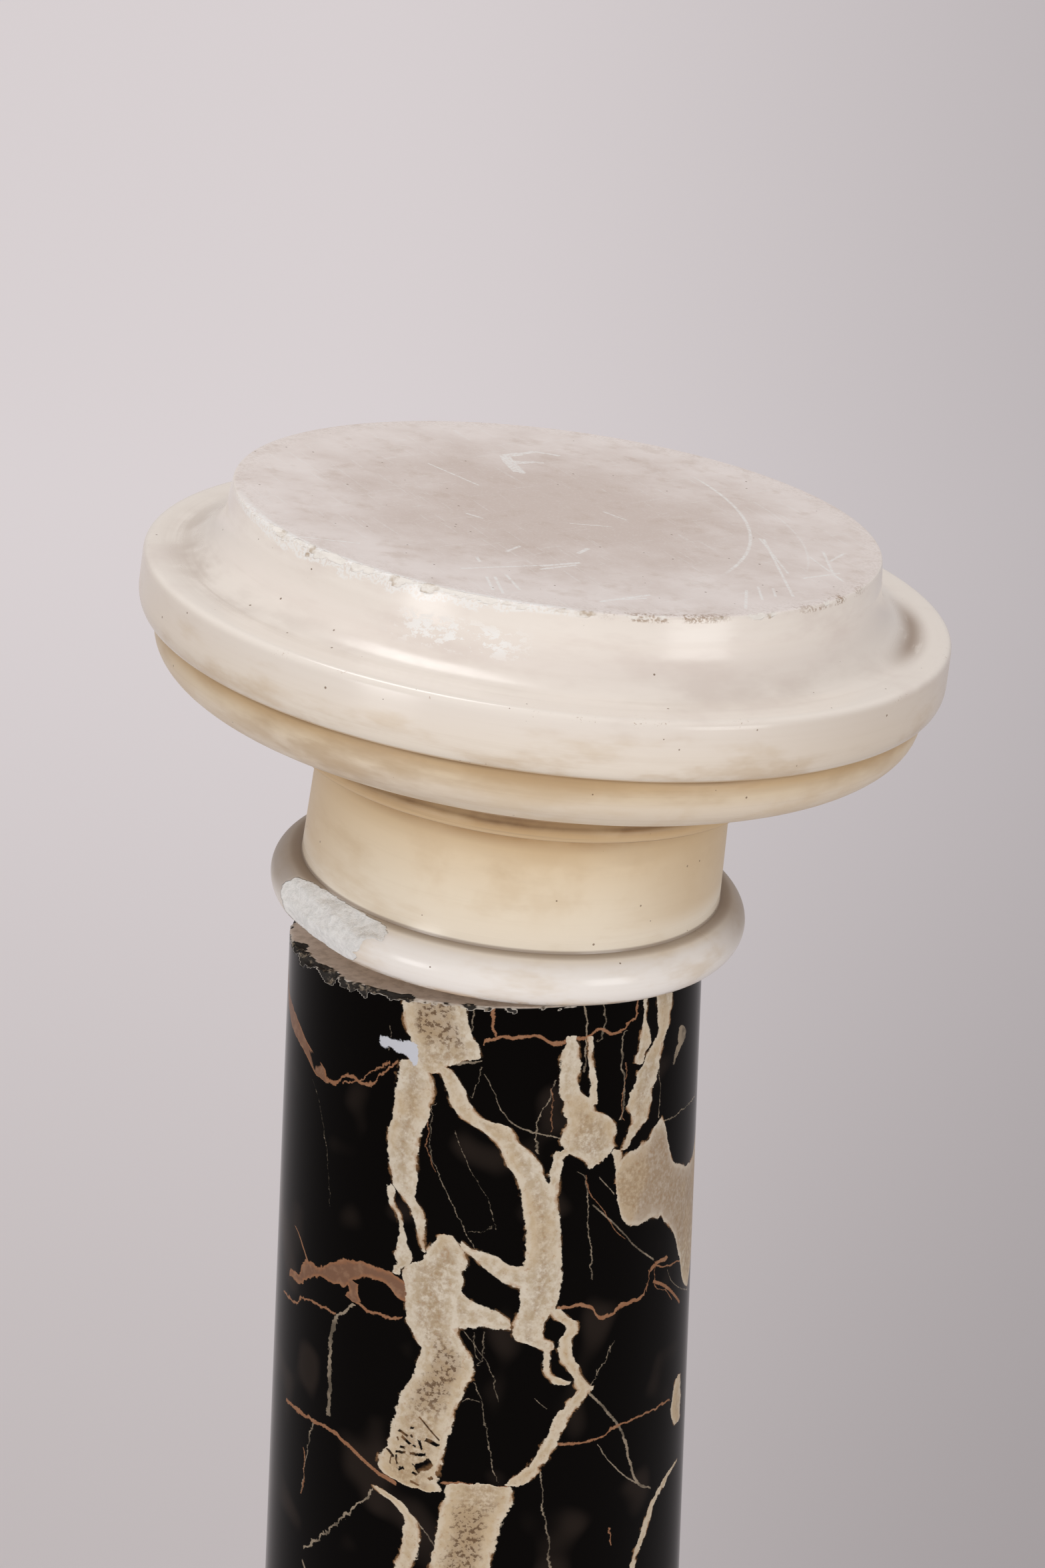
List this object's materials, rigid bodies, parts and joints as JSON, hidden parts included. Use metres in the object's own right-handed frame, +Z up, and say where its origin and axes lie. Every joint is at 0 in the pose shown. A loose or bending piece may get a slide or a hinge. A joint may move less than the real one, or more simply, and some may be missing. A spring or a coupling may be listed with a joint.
{
  "type": "marble column",
  "caption": "Round marble display column: stepped white foot, tapered black veined shaft, and a white moulded capital that leans, with a flat round top to carry a bust or vase.",
  "frame": {"origin": "centre of the underside, on the floor", "axes": "+Z up along the shaft, -Y towards the front, +X to the right seen from the front"},
  "size_m": [0.38, 0.38, 1.1225],
  "materials": {
    "white_marble": "worn polish, stained and chipped",
    "black_marble": "polished, with cream and brown veins"
  },
  "bodies": {
    "root": {"base": "white_marble", "shaft": "black_marble", "capital": "white_marble"}
  },
  "joints": []
}
